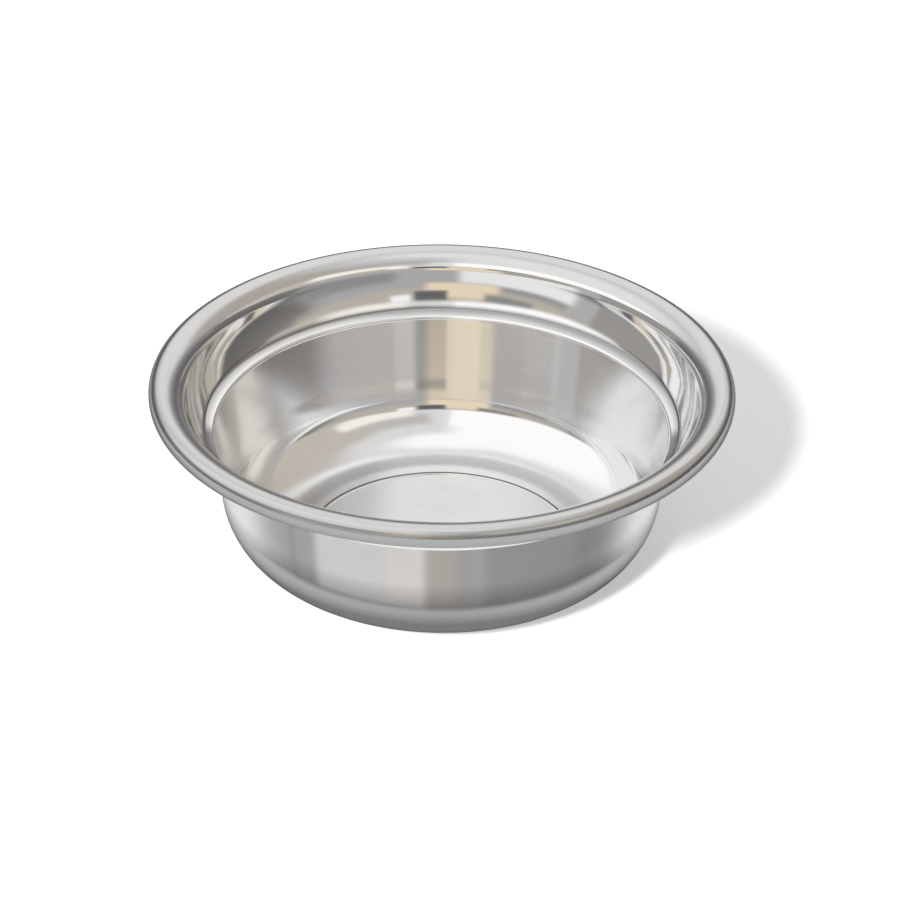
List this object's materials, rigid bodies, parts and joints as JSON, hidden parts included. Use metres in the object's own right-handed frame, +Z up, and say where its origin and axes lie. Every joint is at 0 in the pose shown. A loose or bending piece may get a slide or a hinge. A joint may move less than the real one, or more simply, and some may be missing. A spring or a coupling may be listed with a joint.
{
  "type": "dog bowl",
  "caption": "Round stainless feeding bowl with a rolled rim, a narrow ledge below it, a straight wall with a round corner, and a rubber ring bonded under the base.",
  "frame": {"origin": "centre of the standing face, under the rubber ring", "axes": "+Z up along the bowl's axis, out of its mouth; X and Y are free, because the bowl is round"},
  "size_m": [0.21, 0.21, 0.072],
  "materials": {
    "stainless_sheet": "mirror polished inside, satin on the rim and the outside",
    "ring_rubber": "matt moulded rubber"
  },
  "bodies": {
    "root": {"bowl_shell": "stainless_sheet", "non_slip_ring": "ring_rubber"}
  },
  "joints": []
}
